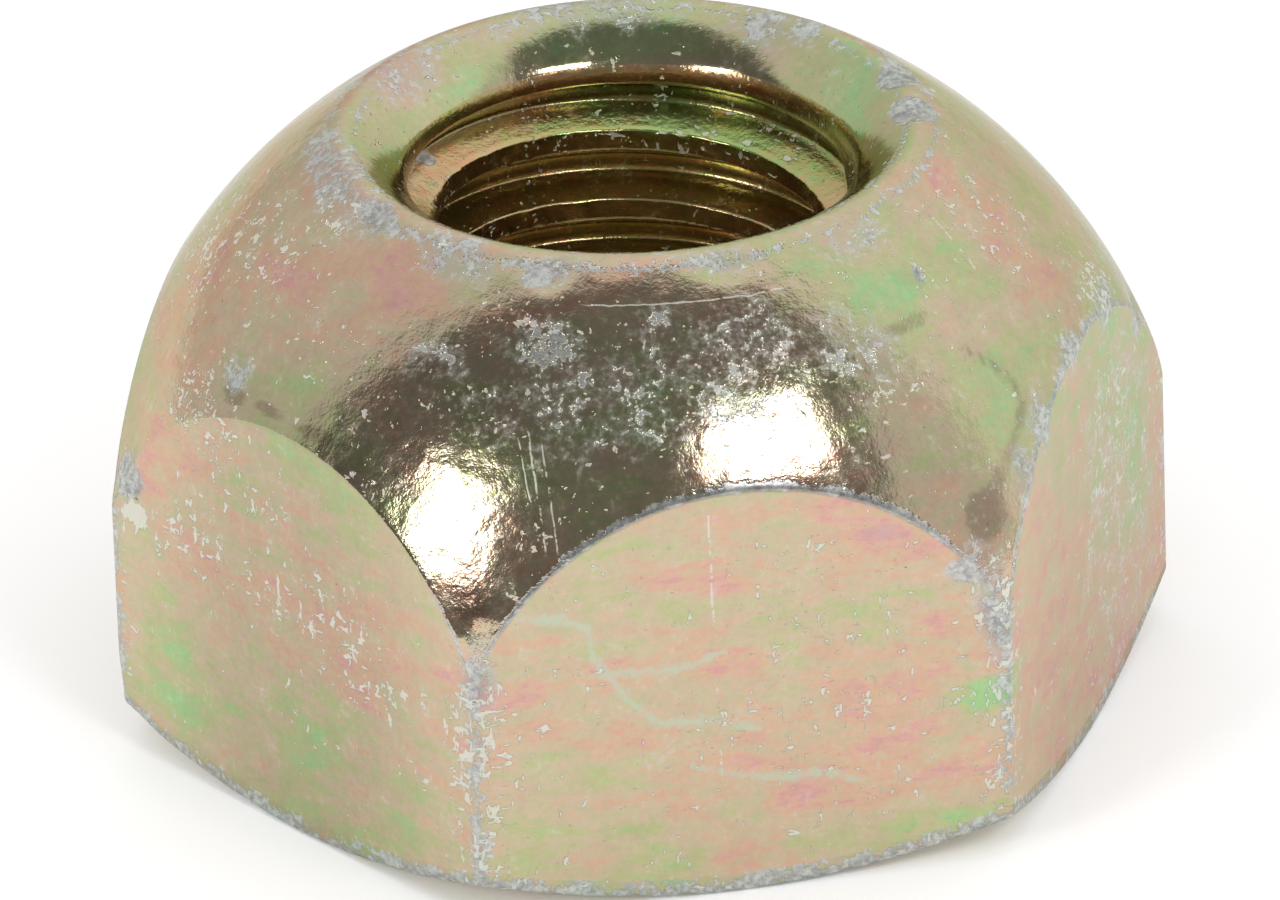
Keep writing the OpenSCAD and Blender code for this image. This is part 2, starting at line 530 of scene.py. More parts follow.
# how dense the pecks are; the cluster on the first thread crest paints glints where torn burrs catch
# the light
PECKS_AND_GLINTS = [
    ((-10.6, -0.7, 5.6), (0.4, 0.5, 0.35), 4),
    ((-9.8, -2.1, 5.6), (1.2, 1.8, 1), 1.1),
    ((-8, -5.3, 5.4), (2.2, 2.8, 1), 1.25),
    ((-7.2, -6.6, 4.2), (1.6, 1.8, 0.6), 1.1),
    ((-9, -3.6, 7.2), (1.2, 1.5, 0.6), 0.9),
    ((-9.6, -2.4, 8.6), (1.2, 1.5, 1), 1.2),
    ((-8.3, 2.2, 10.3), (1.5, 2.5, 1.2), 1.1),
    ((-7.7, -0.5, 11.2), (1.2, 1.6, 1), 1.1),
    ((-6.5, -1.4, 12.2), (0.8, 1.2, 0.6), 1.1),
    ((-5.5, -9.4, 3), (0.9, 0.9, 3.2), 0.6),
    ((2.2, -9.5, 6.2), (2.5, 1, 1.6), 0.5),
    ((-0.5, -9.5, 3.6), (1.6, 1, 0.8), 0.7),
    ((9.3, -3.5, 5), (1.4, 2.6, 3.5), 0.9),
    ((6.9, -4, 11.3), (1.5, 1.5, 1), 0.9),
    ((8.9, -3.2, 9.3), (1, 1.5, 0.6), 1.3),
    ((-1, -7.8, 10.8), (4.5, 2.2, 1.6), 0.3),
    ((3.2, -8, 10.2), (1.2, 1, 1), 0.9),
    ((5.3, -9.3, 4), (0.8, 0.8, 3.5), 0.5),
    # painted glints: pale pecks on the first crest stand for torn burrs catching the light
    ((0.9, 3.9, 10.35), (2.6, 0.9, 0.25), 0.95),
    ((2.2, -9.5, 4.1), (1.3, 1, 0.45), 0.9),
    ((1.6, -9.5, 7.6), (0.9, 1, 0.5), 0.9),
]
# the dried runs on the front flat, as points across and up the flat in millimetres
RUNS = [
    [(-4.46, 6.81), (-3.65, 6.69), (-3.09, 6.43), (-3.03, 5.79), (-2.72, 5.3), (-2.25, 4.6),
     (-1.69, 4.07), (-0.55, 3.99), (0.17, 3.75)],
    [(-2.72, 5.3), (-1.17, 5.26), (-0.51, 5.45)],
    [(-0.91, 2.96), (-0.09, 2.7), (0.72, 2.54), (1.71, 2.49), (2.28, 2.27)],
]


def signed_distance(points, corners):
    """Distance to a line of straight stretches, negative on one side of it."""
    corners = np.array(corners)
    nearest = np.full(len(points), FAR)
    for a, b in zip(corners, corners[1:]):
        gap = segment_distance(points, a, b)
        side = np.cross(points - a, b - a)[:, 1]
        nearest = np.where(gap < np.abs(nearest), np.copysign(gap, side), nearest)
    return nearest


def spot(points, middle, reach):
    """1 at the middle, a third at the reach and 0 further out."""
    away = np.linalg.norm((points - middle) / reach, axis=1)
    return np.exp(-(away ** 4))


def strongest(points, marks):
    """What the strongest of the marks does at each point."""
    return np.max([much * spot(points, middle, reach) for middle, reach, much in marks], axis=0)


def placed_marks(mesh):
    co = points_of(mesh)
    store(mesh, "stain", sum(change * spot(co, middle, reach) for middle, reach, change in STAINS))
    store(mesh, "rub", strongest(co, RUBS))
    smear = SMEAR_THICK * np.exp(-((signed_distance(co, SMEAR) / SMEAR_WIDE) ** 2))
    store(mesh, "dirt", np.maximum(strongest(co, DIRT), smear))
    # painted shade: the root of the first turn is darkened, most where the groove is deepest
    r = np.hypot(co[:, 0], co[:, 1])
    deep = np.clip((r - THROAT_R) / (THREAD_R - THROAT_R), 0, 1)
    deep *= (r < THREAD_R + 0.01) * (co[:, 2] < THREAD_TOP)
    shade_in_root = ROOT_SHADE * deep * np.clip(co[:, 2] - FIRST_ROOT_Z, 0, 1)
    store(mesh, "painted_shade", np.maximum(strongest(co, SIDE_SHADE), shade_in_root))
    store(mesh, "pecks_and_glints", strongest(co, PECKS_AND_GLINTS))
    lines = [[(x, -FLAT_R, z) for x, z in points] for points in RUNS]
    gaps = np.stack([signed_distance(co, line) for line in lines], axis=1)
    signed = mesh.attributes.new("runs_signed_mm", "FLOAT_VECTOR", "POINT")
    signed.data.foreach_set("vector", gaps.astype(np.float32).ravel())
    store(mesh, "runs_mm", np.abs(gaps).min(axis=1))
    # the places counted after the dirt are painted shade on the side flats; the pecks include
    # painted glints on a thread crest
    print(f"{len(STAINS)} stains, {len(RUBS)} rubs, {len(DIRT)} spots of dirt, 1 smear, "
          f"{len(SIDE_SHADE)} shaded places, {len(PECKS_AND_GLINTS)} clusters of pecks, {len(RUNS)} runs")


placed_marks(nut_mesh)

# %% [markdown]
# ## Knocks
#
# Nuts are tumbled in barrels and dropped into bins, so corners, ridge and foot carry small dents:
# vertices near the middle of each move a little towards the inside of the nut. Sculpting would do
# it too, but a short table of places keeps every dent where it belongs.

# %% Dent the nut
# middle of the dent, its reach and its depth, all in millimetres
DENTS = [
    ((-10.8, -0.4, 6.3), 0.55, 0.10),
    ((-10.9, 0.1, 8.6), 0.4, 0.05),
    ((10.3, -1.3, 7.6), 0.5, 0.08),
    ((-10.95, 0, 0.85), 0.9, 0.07),
    ((-5.4, -9.4, 5.7), 0.45, 0.09),
    ((-5.2, -9.4, 6.4), 0.3, 0.05),
    ((-5.5, -9.5, 3.9), 0.3, 0.05),
    ((-5.5, -9.5, 2.6), 0.25, 0.04),
    ((5.4, -9.5, 5.6), 0.4, 0.07),
    ((5.4, -9.5, 3.9), 0.3, 0.05),
    ((5.4, -9.5, 2.5), 0.25, 0.04),
    ((5.3, -9.4, 1.4), 0.35, 0.06),
    ((5.75, -0.7, 12.7), 0.55, 0.10),
    ((5.8, 0.85, 12.7), 0.5, 0.09),
    ((-5.8, -2.2, 12.6), 0.5, 0.07),
    ((0.5, -6.1, 12.6), 0.5, 0.05),
    ((-2.9, -5.5, 12.6), 0.5, 0.06),
]
# the point that every dent is pushed towards
MIDDLE = np.array((0, 0, 4.0))
# how far the tap tore the crests, and the size of the torn places
BURR = 0.07
BURR_SIZE = 0.35


def dent(mesh):
    co = points_of(mesh)
    outside_hole = np.hypot(co[:, 0], co[:, 1]) > THROAT_R
    for middle, reach, depth in DENTS:
        gap = np.linalg.norm(co - middle, axis=1)
        inward = MIDDLE - np.array(middle)
        push = depth * np.exp(-((gap / reach) ** 3)) * outside_hole
        co += push[:, None] * inward / np.linalg.norm(inward)
    # the tap tears the crests' edges a little, always towards the axis
    r = np.hypot(co[:, 0], co[:, 1])
    crest = (np.abs(r - BORE_R) < EDGE_BREAK / 2) & (co[:, 2] > 1)
    for i in np.flatnonzero(crest):
        at = Vector(co[i]) / BURR_SIZE
        torn = noise.noise(at) + 0.5 * noise.noise(at * 3)
        co[i, :2] *= 1 - BURR * max(0.0, torn) / r[i]
    mesh.vertices.foreach_set("co", (co * MM).ravel())
    mesh.update()
    print(f"{len(DENTS)} dents, {int(crest.sum())} crest vertices roughened")


dent(nut_mesh)

# %% [markdown]
# ## A helper for node trees
#
# Every material below is a tree of nodes. Writing each link by hand hides the idea, so this small
# class adds a node, wires its inputs and hands the result on. It only saves typing.

# %% The helper
class Graph:
    """Adds nodes to one tree; an input may be a plain value or another node's output."""

    def __init__(self, tree):
        self.tree = tree

    def add(self, kind, inputs=None, **settings):
        made = self.tree.nodes.new("ShaderNode" + kind)
        for key, value in settings.items():
            setattr(made, key, value)
        self.wire(made, inputs or {})
        return made

    def wire(self, made, inputs):
        for key, value in inputs.items():
            if isinstance(value, bpy.types.NodeSocket):
                self.tree.links.new(value, made.inputs[key])
            else:
                made.inputs[key].default_value = value

    def math(self, operation, a, b=0.0):
        return self.add("Math", {0: a, 1: b}, operation=operation).outputs[0]

    def plus(self, a, b):
        return self.math("ADD", a, b)

    def minus(self, a, b):
        return self.math("SUBTRACT", a, b)

    def times(self, a, b):
        return self.math("MULTIPLY", a, b)

    def most(self, a, b):
        return self.math("MAXIMUM", a, b)

    def vector(self, operation, a, b=(0.0, 0.0, 0.0)):
        return self.add("VectorMath", {0: a, 1: b}, operation=operation).outputs["Vector"]

    def dot(self, a, b):
        return self.add("VectorMath", {0: a, 1: b}, operation="DOT_PRODUCT").outputs["Value"]

    def length(self, a):
        return self.add("VectorMath", {0: a}, operation="LENGTH").outputs["Value"]

    def noise(self, at, scale=1.0, detail=2.0, rough=0.5):
        inputs = {"Vector": at, "Scale": scale, "Detail": detail, "Roughness": rough}
        return self.add("TexNoise", inputs).outputs["Fac"]

    def step(self, value, low, high):
        """A soft step: 0 below low and 1 above high, or the other way round if low is larger."""
        inputs = {"Value": value, "From Min": low, "From Max": high}
        return self.add("MapRange", inputs, interpolation_type="SMOOTHSTEP").outputs["Result"]

    def blend(self, mask, a, b):
        """Colour a where the mask is 0, colour b where it is 1."""
        made = self.add("Mix", data_type="RGBA")
        for i, value in ((0, mask), (6, a), (7, b)):
            self.wire(made, {i: value})
        return made.outputs[2]

    def ramp(self, value, stops):
        made = self.add("ValToRGB", {"Fac": value})
        marks = made.color_ramp.elements
        while len(marks) < len(stops):
            marks.new(0.5)
        for mark, (at, _) in zip(marks, stops):
            mark.position = at
        for mark, (_, colour) in zip(marks, stops):
            mark.color = (*colour, 1)
        return made.outputs["Color"]

    def place(self, group, inputs=None):
        made = self.tree.nodes.new("ShaderNodeGroup")
        made.node_tree = group
        self.wire(made, inputs or {})
        return made

    def millimetres(self):
        """Where the point lies on the nut, in millimetres."""
        at = self.add("TexCoord").outputs["Object"]
        return self.vector("MULTIPLY", at, (1 / MM, 1 / MM, 1 / MM))


KINDS = {float: "NodeSocketFloat", tuple: "NodeSocketVector"}
# the inputs of every group that breaks something up
NOISES = {"Lumps": 0.0, "Crumbs": 0.0}


def new_group(name, inputs, outputs):
    """(graph, its input sockets by name, output node) of a new shader group."""
    tree = bpy.data.node_groups.new(name, "ShaderNodeTree")
    for title, value in inputs.items():
        socket = tree.interface.new_socket(title, in_out="INPUT", socket_type=KINDS[type(value)])
        socket.default_value = value
    for title, kind in outputs.items():
        tree.interface.new_socket(title, in_out="OUTPUT", socket_type="NodeSocket" + kind)
    graph = Graph(tree)
    return graph, tree.nodes.new("NodeGroupInput").outputs, tree.nodes.new("NodeGroupOutput")


def new_material(name):
    """(material, graph, its Principled shader) of a new material."""
    material = bpy.data.materials.new(name)
    material.use_nodes = True
    return material, Graph(material.node_tree), material.node_tree.nodes["Principled BSDF"]


print(f"helper ready, groups take {' and '.join(kind.__name__ for kind in KINDS)} inputs")

# %% [markdown]
# ## Passivated zinc
#
# Yellow passivation is a clear film about half a micron thick. Light from its two faces interferes,
# so the colour tells the thickness: green, straw, peach, pink and so on. The Principled shader has
# a thin film input, but the export drops it, so a ramp turns a thickness map into the colours. The
# film drains off sideways as the nut dries, which stretches the patches along the flats.

# %% Group: the film's colour
FILM = [
    (0.00, (0.36, 0.56, 0.27)),
    (0.15, (0.44, 0.52, 0.27)),
    (0.30, (0.50, 0.49, 0.27)),
    (0.44, (0.55, 0.48, 0.32)),
    (0.57, (0.59, 0.46, 0.33)),
    (0.68, (0.63, 0.43, 0.29)),
    (0.80, (0.64, 0.40, 0.33)),
    (0.90, (0.64, 0.35, 0.31)),
    (1.00, (0.58, 0.38, 0.36)),
]


def film_group():
    g, given, out = new_group(
        "Passivation film",
        {"Patch Size": 1.0, "Shift": 0.0, "Strength": 1.0, "Fine": 0.3},
        {"Color": "Color"})
    at = g.millimetres()
    wide = g.noise(at, 0.15, 1)
    # squeezed upwards, so that patches and streaks come out long along the flats
    stretched = g.vector("MULTIPLY", at, (0.8, 0.8, 1.8))
    patch = g.noise(stretched, g.math("DIVIDE", 1.0, given["Patch Size"]), 4, 0.68)
    streaks = g.noise(g.vector("MULTIPLY", at, (2.5, 2.5, 9.0)), 1.0, 1, 0.65)
    # a noise is a half on average, so 1.3 brings 1 wide and 1.6 patches back to zero
    uneven = g.plus(wide, g.times(patch, 1.6))
    uneven = g.times(g.minus(uneven, 1.3), given["Strength"])
    fine = g.times(g.minus(streaks, 0.5), given["Fine"])
    thickness = g.plus(g.plus(uneven, fine), g.plus(given["Shift"], 0.5))
    g.wire(out, {"Color": g.ramp(thickness, FILM)})
    return g.tree


film = film_group()
print(f"film group with {len(FILM)} colours")

# %% [markdown]
# ## Unevenness
#
# Nothing on a tumbled part is even. Two noises, one with lumps near a millimetre and one with
# crumbs of a tenth, are made once here and given to every group that breaks something up. Each
# group could make its own, but then one point of the surface would need dozens of noises.

# %% Group: unevenness
# brings a noise less its average to about one either way
FULL_SWING = 4.5


def uneven_group():
    g, given, out = new_group("Unevenness", {}, {"Lumps": "Float", "Crumbs": "Float"})
    at = g.millimetres()
    lumps = g.minus(g.noise(at, 1.6, 2, 0.65), 0.5)
    crumbs = g.minus(g.noise(at, 7.0, 2, 0.7), 0.5)
    g.wire(out, {"Lumps": g.times(lumps, FULL_SWING), "Crumbs": g.times(crumbs, FULL_SWING)})
    return g.tree


uneven = uneven_group()
print("unevenness group with lumps and crumbs")

# %% [markdown]
# ## Worn places
#
# Rubbing takes the film off the edges first and leaves zinc, blotched from dull grey to near white.
# A bevel or pointiness mask finds edges by itself, but with the stored distances the wear can be
# wide on the corners, narrow on the arcs and ragged everywhere. Rubbed spots use the stored field.

# %% Groups: worn edge, rub and bare zinc
def wear_group():
    g, given, out = new_group(
        "Worn edge", {"Distance": FAR, "Width": 0.2, "Ragged": 1.0, **NOISES},
        {"Mask": "Float"})
    both = g.plus(given["Lumps"], given["Crumbs"])
    reach = g.times(given["Width"], g.plus(g.times(both, given["Ragged"]), 1.0))
    g.wire(out, {"Mask": g.step(g.minus(reach, given["Distance"]), -0.03, 0.08)})
    return g.tree


def rub_group():
    g, given, out = new_group("Rub", {"Field": 0.0, **NOISES}, {"Mask": "Float"})
    both = g.plus(given["Lumps"], g.times(given["Crumbs"], 0.6))
    broken = g.plus(given["Field"], g.times(both, 0.3))
    g.wire(out, {"Mask": g.step(broken, 0.56, 0.68)})
    return g.tree


ZINC_DULL = (0.22, 0.25, 0.29, 1)
ZINC_PALE = (0.62, 0.64, 0.62, 1)


def zinc_group():
    g, given, out = new_group("Bare zinc", NOISES, {"Color": "Color"})
    both = g.plus(g.times(given["Lumps"], 0.5), given["Crumbs"])
    g.wire(out, {"Color": g.blend(g.step(both, -1.2, 1.3), ZINC_DULL, ZINC_PALE)})
    return g.tree


wear, rub, zinc = wear_group(), rub_group(), zinc_group()
print(f"groups: {wear.name}, {rub.name}, {zinc.name}")

# %% [markdown]
# ## Handling marks
#
# Away from the edges the nuts scratch and peck each other. Pecks come in clusters, pale where the
# zinc has bloomed white, with a few dark pits between, and one group makes both. A scratch lies
# where a plane would cut the surface, and breaks off where the noise is low.

# %% Groups: handling marks and scratch
PECK_DEEP = 0.018
PIT_DEEP = 0.02


def marks_group():
    g, given, out = new_group(
        "Handling marks", {"Amount": 1.0, "Placed": 0.0, "Grain": 0.002, "Crumbs": 0.0},
        {"Pale": "Float", "Pits": "Float", "Height": "Float"})
    at = g.millimetres()
    crowd = g.step(g.noise(at, 0.6, 1, 0.6), 0.45, 0.65)
    crowd = g.plus(g.times(crowd, given["Amount"]), given["Placed"])
    level = g.minus(0.7, g.times(crowd, 0.09))
    flat_pecks = g.noise(g.vector("MULTIPLY", at, (2.6, 2.6, 5.0)), 1.0, 2, 0.7)
    tall_pecks = g.noise(g.vector("MULTIPLY", at, (5.5, 5.5, 2.6)), 1.0, 2, 0.7)
    pecks = g.step(g.minus(g.most(flat_pecks, tall_pecks), level), 0.0, 0.05)
    pits = g.step(g.plus(flat_pecks, tall_pecks), 0.6, 0.56)
    grain = g.times(given["Crumbs"], given["Grain"])
    pressed = g.plus(g.times(pecks, PECK_DEEP), g.times(pits, PIT_DEEP))
    g.wire(out, {"Pale": pecks, "Pits": pits, "Height": g.minus(grain, pressed)})
    return g.tree


def scratch_group():
    g, given, out = new_group(
        "Scratch",
        {"Across": (1.0, 0.0, 0.0), "Offset": 0.0, "Width": 0.03, "Centre": (0.0, 0.0, 0.0),
         "Reach": 1.0, "Gaps": 0.0, **NOISES},
        {"Mask": "Float"})
    at = g.millimetres()
    along = g.dot(at, given["Across"])
    wander = g.times(given["Lumps"], 0.025)
    off = g.math("ABSOLUTE", g.minus(g.plus(along, wander), given["Offset"]))
    line = g.step(off, given["Width"], g.times(given["Width"], 0.3))
    far = g.math("DIVIDE", g.length(g.vector("SUBTRACT", at, given["Centre"])), given["Reach"])
    both = g.minus(g.plus(given["Lumps"], given["Crumbs"]), given["Gaps"])
    kept = g.times(g.step(far, 1.0, 0.85), g.step(both, -0.25, 0.35))
    g.wire(out, {"Mask": g.times(line, kept)})
    return g.tree


marks, scratch = marks_group(), scratch_group()
print(f"groups: {marks.name}, {scratch.name}")

# %% [markdown]
# ## Dried runs
#
# Where a drop of the bath ran across a flat and dried, it left a thin pale line. The mesh stores how
# far each point lies from three such lines, with a sign for the side. It passes through 0 between
# two vertices, so a line stays thin and unbroken on a coarse grid. It does so past the line's ends
# too, so the plain distance keeps only what is near.

# %% Group: dried runs
def runs_group():
    g, given, out = new_group(
        "Dried runs", {"Gaps": (FAR, FAR, FAR), "Reach": FAR, **NOISES},
        {"Mask": "Float"})
    gaps = g.add("SeparateXYZ", {0: g.vector("ABSOLUTE", given["Gaps"])}).outputs
    nearest = g.math("MINIMUM", g.math("MINIMUM", gaps[0], gaps[1]), gaps[2])
    broken = g.plus(g.times(given["Lumps"], 0.05), g.times(given["Crumbs"], 0.1))
    line = g.step(g.plus(nearest, broken), 0.14, 0.0)
    g.wire(out, {"Mask": g.times(line, g.step(given["Reach"], 0.32, 0.2))})
    return g.tree


runs = runs_group()
print(f"group: {runs.name}")

# %% [markdown]
# ## One recipe for five surfaces
#
# Flats, ball, lip, thread and underside were cut by different tools, but they went through the same
# bath. So one recipe joins the groups, and each surface gives it its own values: how smooth the cut
# was, how thick the film dried, and which edges wear it.

# %% The recipe
# colours of white bloom, which also paints glints on a thread crest, a dried run and dirt, and of
# the film seen edge on
BLOOM = (0.66, 0.68, 0.61, 1)
RUN = (0.50, 0.58, 0.45, 1)
GRIME = (0.18, 0.13, 0.09, 1)
FILM_EDGE = (0.66, 0.65, 0.55, 1)
# the share of the colour below that each layer covers
COVER = {"soil": 0.52, "run": 0.68, "bare": 0.85, "haze": 0.62, "bloom": 0.75, "pit": 0.8}
# the share of each layer that isn't metal
MATT = {"bare": 0.15, "bloom": 0.35, "haze": 0.14}
# what a worn or pale place adds to the roughness, and the film's height in millimetres
COARSER = 0.14
FILM_STEP = 0.009


def plated(name, rough, film_values, edges, amount, grain, waves, scratches=(),
           tint=(1.0, 1.0, 1.0), crowding=0.0, has_runs=False, at_edge=FILM_EDGE):
    """A new material. Edges are (attribute, offset, width, ragged), all but the last in millimetres,
    waves are (scale per millimetre, height in millimetres) and scratches are (direction across,
    offset, width, centre, reach, gaps)."""
    material, g, shader = new_material(name)

    def field(attribute):
        return g.add("Attribute", attribute_name=attribute).outputs["Fac"]

    def cover(colour, mask, share, layer):
        """The colour with a layer laid over it where the mask says."""
        return g.blend(g.times(mask, share), colour, layer)

    made = g.place(uneven).outputs
    noises = {"Lumps": made["Lumps"], "Crumbs": made["Crumbs"]}
    both = g.plus(noises["Lumps"], noises["Crumbs"])
    # where the film is gone
    bare = g.place(rub, {**noises, "Field": field("rub")}).outputs["Mask"]
    for attribute, offset, width, ragged in edges:
        distance = g.math("ABSOLUTE", g.minus(field(attribute), offset))
        inputs = {**noises, "Distance": distance, "Width": width, "Ragged": ragged}
        bare = g.most(bare, g.place(wear, inputs).outputs["Mask"])
    # pecks and scratches, more of them near the corners
    placed = g.times(g.step(field("corner_mm"), 1.1, 0.1), crowding)
    # the placed field also sets pale pecks on a thread crest as painted glints
    placed = g.plus(placed, field("pecks_and_glints"))
    inputs = {"Amount": amount, "Placed": placed, "Grain": grain, "Crumbs": noises["Crumbs"]}
    touched = g.place(marks, inputs).outputs
    pale = touched["Pale"]
    for across, offset, width, centre, reach, gaps in scratches:
        inputs = {**noises, "Across": across, "Offset": offset, "Width": width, "Centre": centre,
                  "Reach": reach, "Gaps": gaps}
        pale = g.most(pale, g.place(scratch, inputs).outputs["Mask"])
    # colour, from the film up
    shift = g.plus(field("stain"), film_values["Shift"])
    coat = g.place(film, {**film_values, "Shift": shift}).outputs["Color"]
    shade = g.plus(g.times(both, 0.05), 1.0)
    # painted shade on the side flats and in the first thread root is taken off the brightness here
    inputs = {0: coat, "Scale": g.minus(shade, field("painted_shade"))}
    colour = g.add("VectorMath", inputs, operation="SCALE").outputs["Vector"]
    colour = g.vector("MULTIPLY", colour, tint)
    soil = g.step(g.plus(field("dirt"), g.times(both, 0.22)), 0.3, 0.9)
    colour = cover(colour, soil, COVER["soil"], GRIME)
    if has_runs:
        gaps = g.add("Attribute", attribute_name="runs_signed_mm").outputs["Vector"]
        run = g.place(runs, {**noises, "Gaps": gaps, "Reach": field("runs_mm")}).outputs["Mask"]
        colour = cover(colour, run, COVER["run"], RUN)
    haze = g.step(g.plus(field("rub"), g.times(both, 0.3)), 0.2, 0.75)
    thin = g.most(g.times(bare, COVER["bare"]), g.times(haze, COVER["haze"]))
    colour = g.blend(thin, colour, g.place(zinc, noises).outputs["Color"])
    colour = cover(colour, pale, COVER["bloom"], BLOOM)
    colour = cover(colour, touched["Pits"], COVER["pit"], GRIME)
    # bloom and haze aren't metal, and worn zinc is a little rougher
    matt = g.most(g.times(bare, MATT["bare"]), g.times(pale, MATT["bloom"]))
    matt = g.most(matt, g.times(haze, MATT["haze"]))
    coarse = g.times(g.most(thin, pale), COARSER)
    coarse = g.plus(coarse, g.times(both, 0.03))
    # relief: the marks, the edge of the film and the waves of the cut
    height = g.minus(touched["Height"], g.times(bare, FILM_STEP))
    at = g.millimetres()
    for scale, tall in waves:
        height = g.plus(height, g.times(g.noise(at, scale, 0), tall))
    bump = g.add("Bump", {"Height": height, "Strength": 1.0, "Distance": MM})
    g.wire(shader, {"Base Color": colour, "Metallic": g.minus(1.0, matt),
                    "Roughness": g.plus(coarse, rough), "Normal": bump.outputs["Normal"],
                    "Specular Tint": at_edge})
    print(f"{name}: {len(material.node_tree.nodes)} nodes")
    return material


print(f"layers over the film: {', '.join(COVER)}")

# %% [markdown]
# ## Flats
#
# The flats keep the skin of the drawn bar, satin and streaked. They wear along the corners, the
# arcs and the base, pecks are densest near the corners, and one long scratch runs up the front.

# %% Flats
flats = plated(
    "plated flats", rough=0.38,
    film_values={"Patch Size": 1.15, "Shift": 0.03, "Strength": 1.0, "Fine": 0.45},
    edges=[("corner_mm", 0.0, 0.13, 2.2), ("arc_mm", 0.0, 0.06, 0.5), ("rim_mm", 0.0, 0.26, 0.35)],
    amount=0.5, grain=0.0014, waves=[(1.2, 0.02)],
    scratches=[((1, 0, 0.02), -0.4, 0.035, (-0.5, -9.5, 5.5), 4.4, 0.2)],
    crowding=0.9, has_runs=True, at_edge=(0.92, 0.92, 0.86, 1))

# %% [markdown]
# ## Ball
#
# The ball is turned and burnished, so it mirrors the room, with long soft waves and rubbed patches.
# One long scratch runs round near the top, three short ones up the front, and one on the right.

# %% Ball
ball = plated(
    "burnished ball", rough=0.14,
    film_values={"Patch Size": 1.5, "Shift": 0.0, "Strength": 0.9, "Fine": 0.3},
    edges=[("corner_mm", 0.0, 0.16, 2.0), ("arc_mm", 0.0, 0.19, 0.4), ("ridge_mm", 0.4, 0.06, 3.0)],
    amount=0.6, grain=0.0013, waves=[(0.7, 0.03), (2.6, 0.01)],
    scratches=[((0.015, 0.019, 1.0), 11.872, 0.016, (-0.3, -6.7, 12.0), 2.2, -1.0),
               ((1, 0, 0), -3.85, 0.03, (-3.8, -8.6, 9.2), 1.4, -0.3),
               ((1, 0, 0), -3.62, 0.025, (-3.6, -8.7, 9.0), 1.2, -0.3),
               ((1, 0, 0.05), -3.55, 0.02, (-4.0, -8.6, 9.2), 1.2, -0.3),
               ((0.703, 0.709, -0.062), -0.196, 0.035, (5.7, -4.9, 11.4), 1.1, 0.1)],
    crowding=0.8)

# %% [markdown]
# ## Lip
#
# The lip is rolled, which leaves it smoother than any cut. The film dries a little thinner there,
# so it is greener, and the ridge wears bare in short stretches.

# %% Lip
lip = plated(
    "rolled lip", rough=0.13,
    film_values={"Patch Size": 1.6, "Shift": -0.12, "Strength": 0.8, "Fine": 0.25},
    edges=[("ridge_mm", 0.3, 0.04, 3.5)],
    amount=0.4, grain=0.0008, waves=[(0.9, 0.012), (3.0, 0.004)])

# %% [markdown]
# ## Thread
#
# The tap leaves the thread bright, but light bounces between its flanks through the film again and
# again, and each bounce makes it more golden. A tint stands for the bounces that are cut short.

# %% Thread
thread = plated(
    "tapped thread", rough=0.23,
    film_values={"Patch Size": 1.2, "Shift": 0.0, "Strength": 0.6, "Fine": 0.9},
    edges=[], amount=0.7, grain=0.0024, waves=[(2.0, 0.008)],
    tint=(1.0, 0.9, 0.68), at_edge=(1, 1, 1, 1))

# %% [markdown]
# ## Underside
#
# The base and its chamfer are faced off on a lathe and stand on benches, so they are dull, with
# pecks all over.

# %% Underside
underside = plated(
    "faced underside", rough=0.42,
    film_values={"Patch Size": 1.5, "Shift": 0.0, "Strength": 1.0, "Fine": 0.3},
    edges=[("corner_mm", 0.0, 0.3, 1.2), ("rim_mm", 0.0, 0.3, 0.8)],
    amount=1.0, grain=0.0012, waves=[(1.2, 0.012)])

# %% [markdown]
# ## Hand the nut over
#
# The mesh takes its finishes in the order that its faces count them. The visual nut then rides on
# the imported part and takes the place of the plain solid.

# %% Finish the nut and join the part
for material in (flats, ball, lip, thread, underside):
    nut_mesh.materials.append(material)
nut_mesh.polygons.foreach_set("use_smooth", [True] * len(nut_mesh.polygons))
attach(nut, "root")
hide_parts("nut")
print(f"{nut.name} has {len(nut_mesh.materials)} finishes and rides on the root")

# %% [markdown]
# ## Camera
#
# A long lens looks down from a few hundred millimetres away, so near and far edges are almost the
# same size. Directions are an azimuth and an angle above the floor, both seen from the nut.

# %% Camera
VIEW_AZIMUTH = radians(-11.32)
VIEW_ELEVATION = radians(27.38)
VIEW_ROLL = radians(-1.902)
VIEW_DISTANCE = 357.4
AIM_HEIGHT = 5.5
AIM_BELOW = 0.24
LENS = 492.3


def direction(azimuth, elevation):
    """Unit vector towards something seen from the nut: azimuth 0 is the front, 90 the right."""
    flat = cos(elevation)
    return Vector((sin(azimuth) * flat, -cos(azimuth) * flat, sin(elevation)))


def add_camera():
    back = direction(VIEW_AZIMUTH, VIEW_ELEVATION)
    level = Vector((cos(VIEW_AZIMUTH), sin(VIEW_AZIMUTH), 0))
    upright = back.cross(level)
    right = cos(VIEW_ROLL) * level + sin(VIEW_ROLL) * upright
    up = back.cross(right)
    place = Vector((0, 0, AIM_HEIGHT)) - up * AIM_BELOW + back * VIEW_DISTANCE
    turned = Matrix((right, up, back)).transposed().to_4x4()
    camera = new_object("camera", bpy.data.cameras.new("camera"))
    camera.data.lens = LENS
    camera.data.sensor_width = 36
    camera.data.clip_start = 0.01
    camera.matrix_world = Matrix.Translation(place * MM) @ turned
    bpy.context.scene.camera = camera
    print(f"camera {VIEW_DISTANCE:.0f} mm away with a {LENS:.0f} mm lens")


add_camera()

# %% [markdown]
# ## Lamps
#
# Two soft boxes stand in front, one high on the right and one lower on the left. On a burnished
# ball their mirror images are the two highlights, so their angles matter more than their power.

# %% Lamps
LAMP_DISTANCE = 600


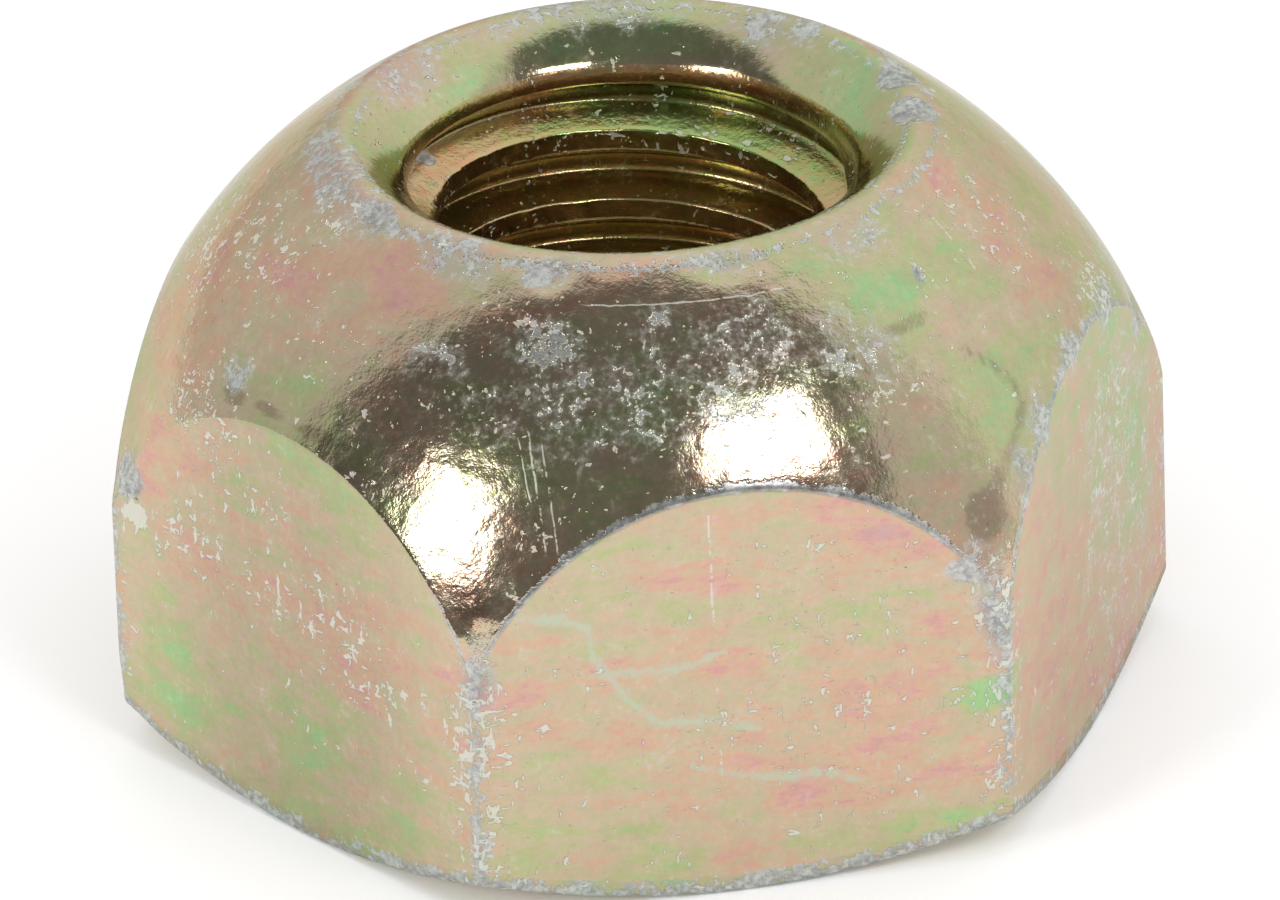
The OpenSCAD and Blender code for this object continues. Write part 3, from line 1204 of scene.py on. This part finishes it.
def add_lamp(name, azimuth, elevation, width, height, radiance):
    """A soft box; its angles and the angles it fills are in degrees, azimuth from the camera's."""
    away = direction(VIEW_AZIMUTH + radians(azimuth), radians(elevation))
    lamp = bpy.data.lights.new(name, "AREA")
    lamp.shape = "RECTANGLE"
    lamp.size = 2 * LAMP_DISTANCE * MM * tan(radians(width / 2))
    lamp.size_y = 2 * LAMP_DISTANCE * MM * tan(radians(height / 2))
    lamp.energy = radiance * pi * lamp.size * lamp.size_y
    made = new_object(name, lamp)
    made.location = away * LAMP_DISTANCE * MM
    made.rotation_euler = away.to_track_quat("Z", "Y").to_euler()
    made.visible_camera = False
    print(f"{name}: {lamp.size:.2f} x {lamp.size_y:.2f} m, {lamp.energy:.1f} W")


add_lamp("lamp_right", azimuth=36, elevation=43, width=21, height=12, radiance=9)
add_lamp("lamp_left", azimuth=-46, elevation=26, width=15, height=17, radiance=9)

# %% [markdown]
# ## The room
#
# The nut stands in a white tent with a dark opening in front, where the camera looks in. Polished
# metal shows the opening as a dark field between the highlights. Only mirror rays see it: the
# camera and the soft light still find an even white.

# %% Room
# azimuth and elevation of each in degrees, from the camera's azimuth
FRONT = (0, 0)
OPENING = (-35, 20)
LEFT = (-97, 0)
# how bright the opening and the front panel are, how much the left side loses, and the soft edges
OPENING_DIM = 0.19
FRONT_PANEL = 0.72
LEFT_LOSS = 0.22
SOFT = 0.14
WIDE_SOFT = 0.6


def build_room():
    world = bpy.data.worlds.new("studio")
    bpy.context.scene.world = world
    world.use_nodes = True
    world.node_tree.nodes.clear()
    g = Graph(world.node_tree)
    towards = g.add("TexCoord").outputs["Generated"]

    def facing(azimuth, elevation, soft):
        """1 in the half of the room that lies towards this direction, 0 in the other."""
        centre = direction(VIEW_AZIMUTH + radians(azimuth), radians(elevation))
        return g.step(g.dot(towards, centre), 0.0, soft)

    def less(a, b):
        return g.minus(1.0, g.times(a, b))

    inner = g.times(facing(*OPENING, SOFT), FRONT_PANEL - OPENING_DIM)
    mirrored = less(facing(*FRONT, SOFT), g.plus(inner, 1 - FRONT_PANEL))
    mirrored = g.times(mirrored, less(facing(*LEFT, WIDE_SOFT), LEFT_LOSS))
    glossy = g.add("LightPath").outputs["Is Glossy Ray"]
    strength = less(glossy, g.minus(1.0, mirrored))
    shader = g.add("Background", {"Color": (1, 1, 1, 1), "Strength": strength})
    g.add("OutputWorld", {"Surface": shader.outputs[0]})
    print(f"room with an opening at {OPENING_DIM:.0%} of its white")


build_room()

# %% [markdown]
# ## The floor
#
# Plain white paper, wide enough to run out of sight. It glows a little by itself, which stands for
# the light that a tent's floor lets through, and keeps the shadow under the nut pale.

# %% Floor
FLOOR_REACH = 3.0
FLOOR_WHITE = 0.86
FLOOR_GLOW = 0.12


def build_floor():
    mesh = bpy.data.meshes.new("floor")
    far = FLOOR_REACH
    corners = [(-far, -far, 0), (far, -far, 0), (far, far, 0), (-far, far, 0)]
    mesh.from_pydata(corners, [], [(0, 1, 2, 3)])
    material, g, shader = new_material("white paper")
    g.wire(shader, {"Base Color": (FLOOR_WHITE, FLOOR_WHITE, FLOOR_WHITE, 1), "Roughness": 1.0,
                    "Specular IOR Level": 0.0, "Emission Color": (1, 1, 1, 1),
                    "Emission Strength": FLOOR_GLOW})
    mesh.materials.append(material)
    new_object("floor", mesh)
    print(f"floor {2 * FLOOR_REACH:.0f} m wide")


build_floor()
bpy.context.scene.view_settings.view_transform = "Standard"

# %% [markdown]
# ## Sizes
#
# The finished nut has to fill the same box as the imported part.

# %% Sizes
print("the nut has to fill the imported part's box")
